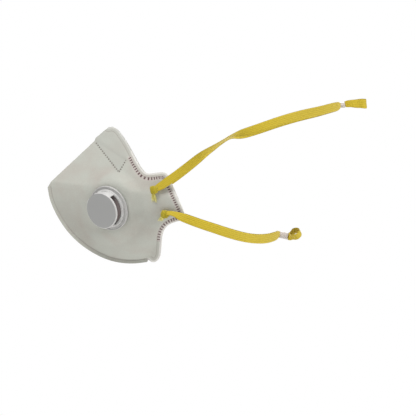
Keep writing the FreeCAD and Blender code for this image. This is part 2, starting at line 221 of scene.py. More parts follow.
# fine spark-eroded grain of moulded plastic, with patches of dust
def buildGrain():
    tree, given, result = newGroup(
        "mouldedGrain", {"Colour": (0.6, 0.6, 0.6, 1), "Dust": (0.5, 0.45, 0.4, 1), "Grain size": 2500.0,
                         "Roughness": 0.5, "Dust share": 0.6}, ["Colour"], ["Height", "Roughness"])
    fine = texture(tree, "Noise", {"Scale": given["Grain size"], "Detail": 3})[0]
    cloud = minus(tree, texture(tree, "Noise", {"Scale": 90, "Detail": 4})[0], 0.5)
    patch = times(tree, cloud, given["Dust share"], clamp=True)
    dusty = mixColour(tree, patch, given["Colour"], given["Dust"])
    link(tree, shaded(tree, dusty, plus(tree, times(tree, fine, 0.16), 0.92)), result["Colour"])
    link(tree, fine, result["Height"])
    link(tree, plus(tree, given["Roughness"], times(tree, cloud, 0.2)), result["Roughness"])
    return tree


felt = buildFelt()
marks = buildMarks()
elastic = buildElastic()
grain = buildGrain()
print("node groups built")


def newMaterial(name):
    material = bpy.data.materials.new(name)
    material.use_nodes = True
    tree = material.node_tree
    return material, tree, tree.nodes["Principled BSDF"]


# the shader's colour, roughness and relief, and its plain numbers
def finishSurface(tree, shader, colour, rough, height, bump, distance, **numbers):
    node = addNode(tree, "ShaderNodeBump")
    node.inputs["Strength"].default_value = bump
    node.inputs["Distance"].default_value = distance
    link(tree, height, node.inputs["Height"])
    link(tree, colour, shader.inputs["Base Color"])
    link(tree, rough, shader.inputs["Roughness"])
    link(tree, node.outputs[0], shader.inputs["Normal"])
    sockets = {"sheen": "Sheen Weight", "sheenRough": "Sheen Roughness", "specular": "Specular IOR Level",
               "coat": "Coat Weight", "metallic": "Metallic"}
    for key, value in numbers.items():
        shader.inputs[sockets[key]].default_value = value


def groupMaterial(name, group, given, **finish):
    material, tree, shader = newMaterial(name)
    base = placeGroup(tree, group, **given)
    finishSurface(tree, shader, base["Colour"], base["Roughness"], base["Height"], **finish)
    return material


# the outer cover: felt, with the welded rim, the nose pocket's stitches and the bottom seam
# the colour of the weld's pressed dashes is painted shade, standing in for the shade in their hollows
coverLook = {"colour": toLinear(187, 188, 179), "stain": toLinear(180, 170, 161),
             "rim": toLinear(224, 221, 216), "burn": toLinear(84, 58, 58), "fold": toLinear(150, 143, 136),
             "crease": toLinear(92, 82, 74), "double": toLinear(176, 178, 170),
             "flush": toLinear(196, 180, 178), "borderWidth": 0.9, "borderFade": 1.2}
unbroken = {"pitch": 500.0, "share": 1.9}
welded = {"along": "rimAlong", "away": "weldAway"}


def coverMaterial():
    material, tree, shader = newMaterial("coverFelt")
    base = placeGroup(tree, felt, colour=coverLook["colour"], stain=coverLook["stain"], fibreSize=1100.0,
                      blotch=0.5, pointPitch=950.0)
    reach = {"first": coverShape["dashFrom"], "last": coverShape["dashTo"]}

    def row(**values):
        return placeGroup(tree, marks, **values)["Mark"]

    # the weld's pressed dashes, coloured dark as painted shade in their hollows
    dashes = row(**welded, **reach, pitch=2.15, share=0.42, near=-1.25, far=1.25, soft=0.3)
    flush = row(**welded, **reach, **unbroken, near=-1.8, far=1.8, soft=1.2)
    faint = row(along="rimAlong", away="rimAway", **unbroken, near=3.5, far=4.1, soft=0.5)
    pocket = row(along="pocketAlong", away="pocketAway", pitch=2.3, share=0.55, near=-0.8, far=0.62, soft=0.3)
    seamLine = row(along="seamAlong", away="seamAway", **unbroken, near=2.75, far=3.25, soft=0.5)
    seamTicks = row(along="seamAlong", away="seamAway", pitch=1.7, share=0.4, near=0.7, far=2.4, soft=0.4)
    beyond = calc(tree, "DIVIDE", minus(tree, "rimAway", coverLook["borderWidth"]), coverLook["borderFade"])
    border = minus(tree, 1.0, beyond, clamp=True)
    colour = base["Colour"]
    for mask, share, tone in ((border, 0.9, "rim"), ("flapInside", 0.5, "double"), (flush, 0.4, "flush"),
                              (faint, 0.65, "fold"), (pocket, 0.85, "crease"), (seamLine, 0.85, "fold"),
                              (seamTicks, 0.16, "fold"), (dashes, 0.95, "burn")):
        colour = mixColour(tree, times(tree, mask, share), colour, coverLook[tone])
    height = times(tree, base["Height"], 0.35)
    for mask, deep in ((dashes, 1.0), (faint, 0.5), (pocket, 0.7), (seamLine, 1.0), (seamTicks, 0.5)):
        height = minus(tree, height, times(tree, mask, deep))
    finishSurface(tree, shader, colour, base["Roughness"], height, 0.55, 0.00035,
                  sheen=0.15, sheenRough=0.6, specular=0.25)
    return material


def feltMaterial(name, colour, stain, fibreSize, blotch, bump=0.4):
    given = {"colour": colour, "stain": stain, "fibreSize": fibreSize, "blotch": blotch, "pointPitch": 650.0}
    return groupMaterial(name, felt, given, bump=bump, distance=0.0003, sheen=0.2, specular=0.2)


def elasticMaterial(name, ribs, stitch, look):
    given = {"along": "bandAlong", "across": "bandAcross", "colour": look["colour"], "groove": look["groove"],
             "ribs": ribs, "stitch": stitch}
    return groupMaterial(name, elastic, given, bump=0.6, distance=0.0003, sheen=0.25, specular=0.3)


def plasticMaterial(name, colour, dust, rough, grainSize, dustShare, bump=0.2, **numbers):
    given = {"colour": colour, "dust": dust, "grainSize": grainSize, "roughness": rough,
             "dustShare": dustShare}
    return groupMaterial(name, grain, given, bump=bump, distance=0.0001, **numbers)


# mesh helpers
def newPiece(name, points, faces, material, values=None):
    mesh = bpy.data.meshes.new(name)
    mesh.from_pydata([tuple(p) for p in points], [], faces)
    for label, numbers in (values or {}).items():
        layer = mesh.attributes.new(label, "FLOAT", "POINT")
        layer.data.foreach_set("value", np.asarray(numbers, dtype=np.float32))
    mesh.materials.append(material)
    mesh.polygons.foreach_set("use_smooth", [True] * len(mesh.polygons))
    mesh.update()
    piece = bpy.data.objects.new(name, mesh)
    scene.collection.objects.link(piece)
    return piece


# faces of a tube made of rings, each with the same number of points
def tubeFaces(rows, ring, capped=True):
    faces = []
    for i in range(rows - 1):
        for k in range(ring):
            a = i * ring + k
            b = i * ring + (k + 1) % ring
            faces.append((a, b, b + ring, a + ring))
    if capped:
        faces.append(tuple(reversed(range(ring))))
        faces.append(tuple(range((rows - 1) * ring, rows * ring)))
    return faces


def mergeParts(parts):
    points = []
    faces = []
    values = {}
    for partPoints, partFaces, partValues in parts:
        faces += [tuple(i + len(points) for i in face) for face in partFaces]
        points += partPoints
        for label, numbers in partValues.items():
            values[label] = values.get(label, []) + numbers
    return points, faces, values


# points read from the route's own smooth line
def splinePoints(route):
    curve = bpy.data.curves.new("route", "CURVE")
    curve.dimensions = "3D"
    spline = curve.splines.new("NURBS")
    spline.points.add(len(route) - 1)
    for point, at in zip(spline.points, route):
        point.co = (at[0], at[1], at[2], 1)
    spline.order_u = 3
    spline.use_endpoint_u = True
    spline.resolution_u = 10
    holder = bpy.data.objects.new("route", curve)
    mesh = bpy.data.meshes.new_from_object(holder)
    found = np.array([tuple(v.co) for v in mesh.vertices])
    bpy.data.objects.remove(holder)
    bpy.data.curves.remove(curve)
    bpy.data.meshes.remove(mesh)
    return found


bandShape = {"thick": 1.0, "fullness": 0.82, "ribs": 2.5, "ribHeight": 0.10, "across": 24,
             "colour": toLinear(206, 182, 44), "groove": toLinear(146, 120, 5)}


# a flat band along a route; shape gives half the width and the roll at each point of the route
def ribbonPiece(name, route, shape, material):
    line = splinePoints(route)
    sizes = splinePoints([(h, math.radians(roll), 0) for h, roll in shape])
    steps = np.gradient(line, axis=0)
    steps /= np.linalg.norm(steps, axis=1)[:, None]
    along = np.concatenate([[0], np.cumsum(np.linalg.norm(np.diff(line, axis=0), axis=1))]) / mm
    points = []
    alongs = []
    acrosses = []
    last = bandShape["across"] - 1
    loop = [(face * (-1 + 2 * k / last), face) for face in (1, -1) for k in range(last + 1)]
    for at, step, (half, roll, _), run in zip(line, steps, sizes, along):
        side = np.cross(step, (0, 0, 1))
        side /= np.linalg.norm(side)
        up = np.cross(side, step)
        wide = up * math.cos(roll) + side * math.sin(roll)
        out = side * math.cos(roll) - up * math.sin(roll)
        for across, face in loop:
            body = (1 - abs(across) ** 6) ** 0.5
            ribs = bandShape["ribHeight"] * math.cos(2 * math.pi * bandShape["ribs"] * across) * body
            lift = bandShape["thick"] * mm / 2 * (bandShape["fullness"] * body + ribs) * face
            points.append(at + wide * half * across + out * lift)
            alongs.append(run)
            acrosses.append(across)
    return newPiece(name, points, tubeFaces(len(line), len(loop)), material,
                    {"bandAlong": alongs, "bandAcross": acrosses})


# straps, from each hole round the head to the adjuster at the back: x, y, z, half height, roll
upperRoute = [(20.6, 67.6, 6.2, 2.6, 0), (24.6, 68.4, 8.2, 3.6, 4), (31.0, 70.0, 12.6, 3.9, 6),
              (43.5, 72.3, 21.6, 3.7, 0), (56.0, 73.8, 31.6, 3.6, -14), (64.3, 74.6, 38.2, 3.6, -42),
              (72.3, 75.2, 43.4, 3.6, -64), (80.3, 75.8, 48.8, 3.6, -82), (88.3, 76.2, 53.8, 3.6, -82),
              (95.0, 76.0, 55.2, 3.7, -40), (102.0, 75.6, 57.0, 3.7, -8), (114.3, 74.0, 61.0, 3.9, 0),
              (132.3, 68.6, 67.3, 4.0, 3), (150.3, 58.0, 72.5, 4.1, 0), (168.3, 41.0, 76.5, 4.1, -4),
              (179.0, 23.0, 79.6, 4.1, 0), (184.2, 10.0, 80.8, 4.0, 0), (186.2, 4.0, 81.5, 3.4, 0),
              (186.9, 1.4, 82.0, 2.0, 0), (188.8, 0.75, 82.2, 1.15, 0)]
lowerRoute = [(30.8, 69.6, -15.2, 2.0, 16), (34.6, 70.6, -15.4, 2.2, 24), (38.5, 71.6, -16.4, 2.6, 22),
              (43.5, 72.4, -18.7, 3.8, 10), (50.5, 72.8, -21.3, 4.0, 2), (60.0, 72.6, -24.8, 4.1, 4),
              (73.8, 70.6, -29.3, 4.2, 0), (87.3, 65.4, -33.8, 4.3, -4), (100.8, 56.6, -37.4, 4.2, 0),
              (112.0, 45.0, -38.8, 4.1, 4), (121.0, 31.0, -38.4, 4.1, 0), (127.6, 16.0, -36.6, 4.0, 0),
              (130.6, 7.0, -34.9, 3.6, 0), (131.6, 2.4, -34.2, 2.6, 0), (134.2, 0.8, -35.0, 1.4, 0)]
strapElastic = elasticMaterial("strapElastic", bandShape["ribs"], 0.8, bandShape)


def placeRoute(route, side):
    return [(x * mm, side * y * mm, z * mm) for x, y, z, h, roll in route]


# both halves of one strap
def buildStrap(level, route):
    shape = [(h * mm, roll) for x, y, z, h, roll in route]
    halves = []
    for label, side in (("left", -1), ("right", 1)):
        turned = [(h, roll * side) for h, roll in shape]
        piece = ribbonPiece(level + "_band_" + label, placeRoute(route, side), turned, strapElastic)
        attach(piece, level + "_band")
        halves.append(piece)
    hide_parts(level + "_strap")
    return halves


def routeLength(route):
    line = splinePoints(placeRoute(route, 1))
    return float(np.linalg.norm(np.diff(line, axis=0), axis=1).sum())


upperHalves = buildStrap("upper", upperRoute)
lowerHalves = buildStrap("lower", lowerRoute)
print("straps built, half lengths", round(routeLength(upperRoute), 4), round(routeLength(lowerRoute), 4))

# doubled tails: out along one side, round the end and back
upperTail = [(191.4, -0.7, 82.9, 2.7, 0), (192.6, -1.4, 83.2, 3.0, 0), (196.5, -2.6, 83.6, 3.3, 5),
             (201.5, -2.2, 83.4, 3.9, -4), (206.0, -2.6, 83.6, 4.1, 8), (209.2, -2.1, 83.0, 4.1, -4),
             (210.7, 0.0, 83.3, 4.0, -8), (209.8, 2.1, 83.8, 4.1, 0), (206.0, 2.3, 84.0, 4.1, -6),
             (201.5, 2.7, 83.6, 3.8, 4), (196.5, 2.5, 83.8, 3.2, 0), (192.6, 1.4, 83.3, 2.8, 0),
             (191.4, 0.7, 82.9, 2.6, 0)]
lowerTail = [(139.8, -0.8, -36.4, 3.1, 0), (141.0, -1.8, -36.6, 3.5, 0), (143.6, -3.2, -36.6, 3.7, 0),
             (147.0, -4.3, -36.0, 3.7, 0), (150.4, -3.9, -35.2, 3.6, 0), (152.6, -0.6, -34.8, 3.6, 0),
             (151.2, 2.8, -34.8, 3.6, 0), (147.6, 3.6, -35.2, 3.6, 0), (144.0, 2.7, -36.0, 3.6, 0),
             (141.0, 1.6, -36.6, 3.4, 0), (139.8, 0.8, -36.6, 3.0, 0)]
tailTurn = {"from": 140.0, "level": -36.0, "over": 5.0, "roll": 50.0, "swing": -24.0, "lift": 2.0}


def buildTail(level, route):
    piece = ribbonPiece(level + "_tail", placeRoute(route, 1), [(h * mm, roll) for x, y, z, h, roll in route],
                        strapElastic)
    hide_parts(level + "_strap_loop")
    return piece


upperLoop = buildTail("upper", upperTail)
lowerLoop = buildTail("lower", lowerTail)
# the lower loop rolls and swings towards one side, so that it opens to it
for vertex in lowerLoop.data.vertices:
    x, y, z = (c / mm for c in vertex.co)
    share = min(max((x - tailTurn["from"]) / tailTurn["over"], 0.0), 1.0)
    share = share * share * (3 - 2 * share)
    roll = math.radians(tailTurn["roll"]) * share
    swing = math.radians(tailTurn["swing"]) * share
    z -= tailTurn["level"]
    y, z = y * math.cos(roll) - z * math.sin(roll), y * math.sin(roll) + z * math.cos(roll)
    x -= tailTurn["from"]
    x, y = x * math.cos(swing) - y * math.sin(swing), x * math.sin(swing) + y * math.cos(swing)
    vertex.co = ((x + tailTurn["from"]) * mm, y * mm, (z + tailTurn["level"] + tailTurn["lift"] * share) * mm)
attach(upperLoop, "upper_band")
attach(lowerLoop, "lower_band")
for level, halves, loop, route in (("upper", upperHalves, upperLoop, upperRoute),
                                   ("lower", lowerHalves, lowerLoop, lowerRoute)):
    for piece, side in zip(halves, (-1, 1)):
        spine = placeRoute(route, side)
        round(routeLength(route), 3)
        [tuple(p) for p in splinePoints(spine)]
print("tails built")

# shell of the mask, in millimetres
coverShape = {"cheekX": 48.0, "cheekZ": -2.0, "halfWidth": 70.0, "bulge": 1.8, "seamWidth": 3.0,
              "seamThick": 1.3, "seamBand": 6.0, "grid": 1.25, "strapHole": 1.9}
noseTop = (-22.8, 62.0)
noseFront = (-34.0, 52.6)
noseStep = (-35.0, 49.9)
tip = (-74.1, 13.3)
seamPoints = [(-77.4, 7.9), (-75.6, -2.0), (-71.6, -12.4), (-61.7, -29.0), (-51.4, -40.4),
              (-34.8, -52.2), (-20.3, -58.4), (-4.9, -60.9), (4.0, -60.7), (12.4, -59.6)]
chinNotch = [(12.4, -59.6), (13.8, -57.4)]
chinCurve = [(13.8, -57.4), (17.0, -59.7), (21.8, -58.3), (24.4, -53.8)]
jawCurve = [(24.4, -53.8), (25.4, -44.0), (26.4, -34.4), (30.2, -27.6), (42.2, -22.2)]
tabTip = [(42.2, -22.2), (46.4, -19.6), (45.4, -13.2)]
tabRear = [(45.4, -13.2), (32.6, 16.4)]
tabTop = [(32.6, 16.4), (30.4, 20.0), (25.6, 21.3)]
rimCurve = [(25.6, 21.3), (19.2, 20.4), (12.4, 20.6), (7.6, 25.2), (3.4, 32.0),
            (-4.9, 47.4), (-12.6, 58.6)]
noseRound = [(-12.6, 58.6), (-15.6, 61.2), (-19.4, 62.6), (-22.8, 62.0)]
pocketLine = [(-33.9, 48.4), (-12.2, 21.1), (-6.3, 31.6)]
dents = [(-1.0, -29.0, 2.2, 11.0, 12.0), (-4.6, 4.0, 0.8, 4.0, 15.0), (8.0, -3.0, 0.8, 9.0, 10.0),
         (-30.0, 44.0, -0.8, 9.5, 9.5)]
strapHoles = {"upper": (19.8, 5.8), "lower": (29.6, -16.0)}
# the valve sits on a flat place of the left panel, which turns this way
valveShape = {"x": -20.7, "z": -10.6, "way": (-0.57, -0.77, -0.27), "holeRadius": 14.9,
              "flat": 19.0, "blend": 17.0}
valveWay = np.array(valveShape["way"]) / np.linalg.norm(valveShape["way"])
valveSlopes = (valveShape["way"][0] / valveShape["way"][1], valveShape["way"][2] / valveShape["way"][1])


# a smooth line through the points, at even steps
def through(points, step=1.1):
    p = np.array(points, dtype=float)
    if len(p) == 2:
        count = max(2, int(np.linalg.norm(p[1] - p[0]) / step) + 1)
        return p[0] + (p[1] - p[0]) * np.linspace(0, 1, count)[:, None]
    t = np.concatenate([[0], np.cumsum(np.linalg.norm(np.diff(p, axis=0), axis=1))])
    gaps = np.diff(t)
    n = len(p)
    system = np.zeros((n, n))
    system[0, 0] = system[-1, -1] = 1
    goal = np.zeros((n, 2))
    for i in range(1, n - 1):
        system[i, i - 1:i + 2] = (gaps[i - 1], 2 * (gaps[i - 1] + gaps[i]), gaps[i])
        goal[i] = 6 * ((p[i + 1] - p[i]) / gaps[i] - (p[i] - p[i - 1]) / gaps[i - 1])
    bend = np.linalg.solve(system, goal)
    count = max(4, int(t[-1] / step) + 1)
    found = []
    for s in np.linspace(0, t[-1], count):
        i = min(int(np.searchsorted(t, s, side="right")) - 1, n - 2)
        h = gaps[i]
        a = (t[i + 1] - s) / h
        b = (s - t[i]) / h
        found.append(a * p[i] + b * p[i + 1]
                     + ((a ** 3 - a) * bend[i] + (b ** 3 - b) * bend[i + 1]) * h * h / 6)
    return np.array(found)


seamOuter = through(seamPoints)
seamDirection = np.gradient(seamOuter, axis=0)
seamDirection /= np.linalg.norm(seamDirection, axis=1)[:, None]
seamAcross = np.stack([-seamDirection[:, 1], seamDirection[:, 0]], axis=1)
seamInner = seamOuter + seamAcross * coverShape["seamWidth"]
foldWay = np.subtract(noseTop, noseFront)
foldWay /= np.linalg.norm(foldWay)
# the fold line and the seam's inner edge, drawn out far beyond both ends
keel = np.array([tuple(np.array(noseTop) + foldWay * 60), noseTop, noseFront, noseStep, tip]
                + [tuple(q) for q in seamInner if q[1] < 9.0] + [tuple(seamInner[-1] + (140.0, -92.0))])
cheek = np.array((coverShape["cheekX"], coverShape["cheekZ"]))


# how far each point lies from the cheek towards the fold line, where it is 1
def shareAt(points):
    way = points - cheek
    far = np.linalg.norm(way, axis=1)
    way = way / np.maximum(far, 1e-6)[:, None]
    best = np.full(len(points), 1e9)
    for a, b in zip(keel, keel[1:]):
        e = b - a
        w = a - cheek
        across = way[:, 0] * e[1] - way[:, 1] * e[0]
        across = np.where(np.abs(across) < 1e-9, 1e-9, across)
        t = (w[0] * e[1] - w[1] * e[0]) / across
        u = (w[0] * way[:, 1] - w[1] * way[:, 0]) / across
        good = (t > 0) & (u >= -1e-6) & (u <= 1 + 1e-6)
        best = np.where(good & (t < best), t, best)
    return far / best


def ease(t):
    t = np.clip(t, 0, 1)
    return t * t * (3 - 2 * t)


def risen(share):
    c = coverShape
    inside = c["halfWidth"] * (1 - np.minimum(share, 1) ** c["bulge"])
    return np.where(share <= 1, inside, c["halfWidth"] * c["bulge"] * (1 - share))


valveDepth = float(risen(shareAt(np.array([[valveShape["x"], valveShape["z"]]])))[0]) + 0.6


# distance of the outer face from the plane of symmetry
def halfAt(points):
    y = risen(shareAt(points))
    dx = points[:, 0] - valveShape["x"]
    dz = points[:, 1] - valveShape["z"]
    keep = 1 - ease((np.hypot(dx * 1.12, dz) - valveShape["flat"]) / valveShape["blend"])
    y = y + keep * (valveDepth + valveSlopes[0] * dx + valveSlopes[1] * dz - y)
    for x, z, deep, wide, tall in dents:
        y = y - deep * np.exp(-((points[:, 0] - x) / wide) ** 2 - ((points[:, 1] - z) / tall) ** 2)
    return y


# distance to a line and how far along it the nearest point lies
def beside(points, line):
    best = np.full(len(points), 1e9)
    run = np.zeros(len(points))
    done = 0.0
    for a, b in zip(line, line[1:]):
        e = b - a
        size = float(np.dot(e, e))
        t = np.clip(((points - a) @ e) / size, 0, 1)
        d = np.linalg.norm(points - (a + t[:, None] * e), axis=1)
        closer = d < best
        best = np.where(closer, d, best)
        run = np.where(closer, done + t * math.sqrt(size), run)
        done += math.sqrt(size)
    return best, run


rearLine = np.concatenate([through(c)[:-1] for c in (chinCurve, jawCurve, tabTip, tabRear, tabTop, rimCurve)]
                          + [through(noseRound)])
frontLine = np.concatenate([through([noseTop, noseFront])[1:-1], through([noseFront, noseStep])[:-1],
                            through([noseStep, tip])[:-1], through([tip, seamPoints[0]])[:-1],
                            seamOuter[:-1], through(chinNotch)[:-1]])
outline = np.concatenate([rearLine, frontLine])
coverShape["dashFrom"] = float(beside(np.array([[24.5, -41.0]]), rearLine)[1][0])
coverShape["dashTo"] = float(beside(np.array([[0.5, 37.0]]), rearLine)[1][0])

# triangles inside the outline, on an even lattice
def fillOutline():
    step = coverShape["grid"]
    xs = np.arange(outline[:, 0].min(), outline[:, 0].max(), step)
    zs = np.arange(outline[:, 1].min(), outline[:, 1].max(), step * 0.866)
    lattice = np.array([(x + (step / 2 if i % 2 else 0), z) for i, z in enumerate(zs) for x in xs])
    far, _ = beside(lattice, np.concatenate([outline, outline[:1]]))
    lattice = lattice[far > step * 0.55]
    count = len(outline)
    points = [Vector(p) for p in outline] + [Vector(p) for p in lattice]
    edges = [(i, (i + 1) % count) for i in range(count)]
    found = delaunay_2d_cdt(points, edges, [list(range(count))], 1, 1e-5)
    return np.array([tuple(v) for v in found[0]]), [tuple(f) for f in found[2]]


flatPoints, flatFaces = fillOutline()
print("outline filled", len(flatPoints), len(flatFaces))
rimAway, rimAlong = beside(flatPoints, rearLine)
seamAway, seamAlong = beside(flatPoints, seamOuter)
pocketAway, pocketAlong = beside(flatPoints, np.array(pocketLine, dtype=float))
foldAway, _ = beside(flatPoints, np.array([noseTop, noseFront, noseStep, tip], dtype=float))
# how far the weld's dashes lie from the rim at each place
weldPlaces = [(chinCurve[-1], 2.4), (jawCurve[2], 2.5), (jawCurve[4], 2.7), (tabRear[0], 3.6),
              (tabRear[1], 4.2), (tabTop[-1], 4.7), (rimCurve[2], 4.8), (rimCurve[4], 4.5),
              (rimCurve[5], 3.9), (noseRound[1], 3.2)]
weldRun = [float(beside(np.array([at], dtype=float), rearLine)[1][0]) for at, away in weldPlaces]
weldAway = rimAway - np.interp(rimAlong, weldRun, [away for at, away in weldPlaces])


def leftOf(points, a, b):
    e = np.subtract(b, a) / np.linalg.norm(np.subtract(b, a))
    return e[0] * (points[:, 1] - a[1]) - e[1] * (points[:, 0] - a[0])


flapInside = np.minimum(*[leftOf(flatPoints, a, b) for a, b in zip(pocketLine, pocketLine[1:])])
flapInside = ease(flapInside / 1.3 + 0.5)
sheetValues = {"rimAway": rimAway, "rimAlong": rimAlong, "weldAway": weldAway, "seamAway": seamAway,
               "seamAlong": seamAlong, "pocketAway": pocketAway, "pocketAlong": pocketAlong,
               "flapInside": flapInside}
sheetValues = {label: np.concatenate([numbers, numbers]) for label, numbers in sheetValues.items()}
outward = halfAt(flatPoints)
centres = np.array([flatPoints[list(f)].mean(axis=0) for f in flatFaces])
sheetEdge = {"shut": 1e-6, "open": 1e-3}


# which triangles stay, once the valve's hole and the strap holes are cut
def staying(side, margin, seamMargin):
    keep = (beside(centres, rearLine)[0] > margin) & (beside(centres, seamOuter)[0] > seamMargin)
    for x, z in strapHoles.values():
        keep &= np.hypot(centres[:, 0] - x, centres[:, 1] - z) > coverShape["strapHole"]
    if side < 0:
        dx = centres[:, 0] - valveShape["x"]
        dz = centres[:, 1] - valveShape["z"]
        offset = np.stack([dx, -valveSlopes[0] * dx - valveSlopes[1] * dz, dz], axis=1)
        flatPart = offset - (offset @ valveWay)[:, None] * valveWay
        keep &= np.linalg.norm(flatPart, axis=1) > valveShape["holeRadius"]
    return keep


# one side's closed sheet between two depths; rings are its outer faces
def closedSheet(name, flat, outer, inner, rings, side, material, values=None, turnOut=False):
    count = len(flat)
    points = [(x * mm, side * y * mm, z * mm) for depth in (outer, inner) for (x, z), y in zip(flat, depth)]
    faces = []
    edges = {}
    for ring in rings:
        if max(outer[i] for i in ring) < sheetEdge["shut"]:
            continue
        ring = tuple(ring) if side < 0 else tuple(reversed(ring))
        faces.append(ring)
        faces.append(tuple(k + count for k in reversed(ring)))
        edges.update(dict.fromkeys(zip(ring, ring[1:] + ring[:1])))
    for a, b in edges:
        if (b, a) not in edges and outer[a] + outer[b] - inner[a] - inner[b] > sheetEdge["open"]:
            faces.append((b, a, a + count, b + count))
    piece = newPiece(name, points, faces, material, values)
    body = bmesh.new()
    body.from_mesh(piece.data)
    bmesh.ops.remove_doubles(body, verts=body.verts, dist=1e-7)
    bmesh.ops.delete(body, geom=[v for v in body.verts if not v.link_faces], context="VERTS")
    if turnOut:
        bmesh.ops.recalc_face_normals(body, faces=body.faces)
    body.to_mesh(piece.data)
    body.free()
    return piece


# both halves as one piece of the mask
def joinHalves(halves, node):
    bpy.ops.object.select_all(action="DESELECT")
    for half in halves:
        half.select_set(True)
    bpy.context.view_layer.objects.active = halves[0]
    bpy.ops.object.join()
    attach(halves[0], "mask")
    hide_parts(node)
    return halves[0]


def shellPiece(name, node, outer, inner, material, margin=0.0, seamMargin=0.0):
    halves = []
    for side in (-1, 1):
        rings = [face for face, stays in zip(flatFaces, staying(side, margin, seamMargin)) if stays]
        halves.append(closedSheet(name, flatPoints, outer, inner, rings, side, material, sheetValues))
    piece = joinHalves(halves, node)
    piece.data.set_sharp_from_angle(angle=math.radians(42))
    return piece


# depths of the sheets under the panel's face, in millimetres
layers = {"cover": 0.45, "press": 0.35, "puff": 0.21, "flap": 0.55, "seamStep": 0.15, "lining": (1.6, 2.0),
          "liningPress": 0.85, "web": (0.6, 0.9), "wadding": (1.0, 1.5), "margin": 5.8, "webSeam": 4.4,
          "waddingSeam": 4.8}
pressedRim = 1 - ease((rimAway - 3.0) / 2.6)
band = np.where(seamAway < coverShape["seamBand"], coverShape["seamThick"] / 2, 0.0)
puff = ease((rimAway - 4.2) / 2.0) * (1 - ease((rimAway - 6.5) / 5.0))
coverOuter = outward - layers["press"] * pressedRim + layers["puff"] * puff + layers["flap"] * flapInside
coverOuter = np.maximum(coverOuter, band)
coverOuter = np.where(seamAway < 0.4, coverOuter - layers["seamStep"], coverOuter)
coverOuter = np.where(foldAway < 1e-3, 0.0, np.maximum(coverOuter, 0.0))
coverInner = np.maximum(coverOuter - layers["cover"], 0.0)
liningOuter, liningInner = (np.maximum(outward - depth + layers["liningPress"] * pressedRim, 0.0)
                            for depth in layers["lining"])
liningOuter = np.minimum(liningOuter, coverInner)
liningInner = np.minimum(liningInner, np.maximum(liningOuter - 0.02, 0.0))
webOuter, webInner = (np.maximum(outward - depth, 0.0) for depth in layers["web"])
waddingOuter, waddingInner = (np.maximum(outward - depth, 0.0) for depth in layers["wadding"])

coverFelt = coverMaterial()
liningFelt = feltMaterial("liningFelt", toLinear(226, 225, 220), toLinear(214, 208, 198), 900.0, 0.3)
webFelt = feltMaterial("webFelt", toLinear(222, 222, 218), toLinear(206, 204, 198), 600.0, 0.2)
waddingFelt = feltMaterial("waddingFelt", toLinear(230, 230, 228), toLinear(216, 214, 208), 800.0, 0.2)
cover = shellPiece("folded_cover", "outer_cover", coverOuter, coverInner, coverFelt)
lining = shellPiece("inner_felt", "inner_lining", liningOuter, liningInner, liningFelt)
shellPiece("stiff_web", "support_layer", webOuter, webInner, webFelt,
           layers["margin"], layers["webSeam"])
shellPiece("filter_wadding", "filter_layer", waddingOuter, waddingInner, waddingFelt,
           layers["margin"], layers["waddingSeam"])
coverArea = sum(p.area for p in cover.data.polygons) / 2
print("shell built, area of one face", round(coverArea, 5))


# whether each point lies inside the outline
def insideOutline(points):
    crossings = np.zeros(len(points), dtype=int)
    for a, b in zip(outline, np.roll(outline, -1, axis=0)):
        spans = (a[1] > points[:, 1]) != (b[1] > points[:, 1])
        rise = b[1] - a[1] if abs(b[1] - a[1]) > 1e-9 else 1e-9
        at = a[0] + (points[:, 1] - a[1]) / rise * (b[0] - a[0])
        crossings += spans & (points[:, 0] < at)
    return crossings % 2 == 1


# nose pieces: a pocket sheet over the metal clip, and a soft foam pad beside the nose edge
pocketShape = {"middle": [(-33.0, 57.5), (-21.5, 45.5), (-13.0, 34.0), (-6.5, 24.0)], "width": 9.0,
               "near": 3.4, "far": 3.8, "crown": 0.0}
foamShape = {"middle": [(-20.0, 66.0), (-12.5, 52.0), (-5.0, 39.5), (1.0, 29.0)], "width": 8.0,
             "near": 3.95, "far": 9.5, "crown": 0.02}
stripGrid = {"across": 16, "rimGap": 1.7}


# a strip beside the nose edge on both halves, between two depths under the panel's face
def stripPiece(name, node, shape, material):
    line = through(shape["middle"])
    step = np.gradient(line, axis=0)
    step /= np.linalg.norm(step, axis=1)[:, None]
    away = np.stack([-step[:, 1], step[:, 0]], axis=1)
    shares = np.linspace(-1, 1, stripGrid["across"])
    flat = np.concatenate([line + away * shape["width"] / 2 * share for share in shares])
    inside = insideOutline(flat) & (beside(flat, rearLine)[0] > stripGrid["rimGap"])
    rows = len(line)
    fromEnd = np.minimum(np.arange(rows), np.arange(rows)[::-1])
    edge = np.repeat(1 - np.abs(shares) ** 5, rows)
    ends = np.tile(np.minimum(1, fromEnd / 2.0), len(shares))
    body = np.sqrt(np.clip(edge * np.clip(ends, 0.05, 1), 0.02, 1))
    top = halfAt(flat) - shape["near"]
    deep = shape["far"] - shape["near"]
    outer = np.maximum(top - deep * 0.12 * (1 - body), 0.0)
    wavy = 1 + shape["crown"] * np.sin(flat[:, 0] * 1.3)
    inner = np.maximum(top - deep * (0.25 + 0.75 * body) * wavy, 0.0)
    rings = []
    for j in range(len(shares) - 1):
        for i in range(rows - 1):
            ring = [j * rows + i, j * rows + i + 1, (j + 1) * rows + i + 1, (j + 1) * rows + i]
            if all(inside[k] for k in ring):
                rings.append(ring)
    return joinHalves([closedSheet(name, flat, outer, inner, rings, side, material, turnOut=True)
                       for side in (-1, 1)], node)


stripPiece("pocket_sheet", "nose_pocket", pocketShape,
           feltMaterial("pocketFelt", toLinear(224, 224, 219), toLinear(212, 206, 198), 1000.0, 0.3))
stripPiece("foam_pad", "nose_foam", foamShape,
           feltMaterial("foamCells", toLinear(92, 94, 98), toLinear(70, 72, 76), 1500.0, 0.4, 0.7))
print("nose pieces built")
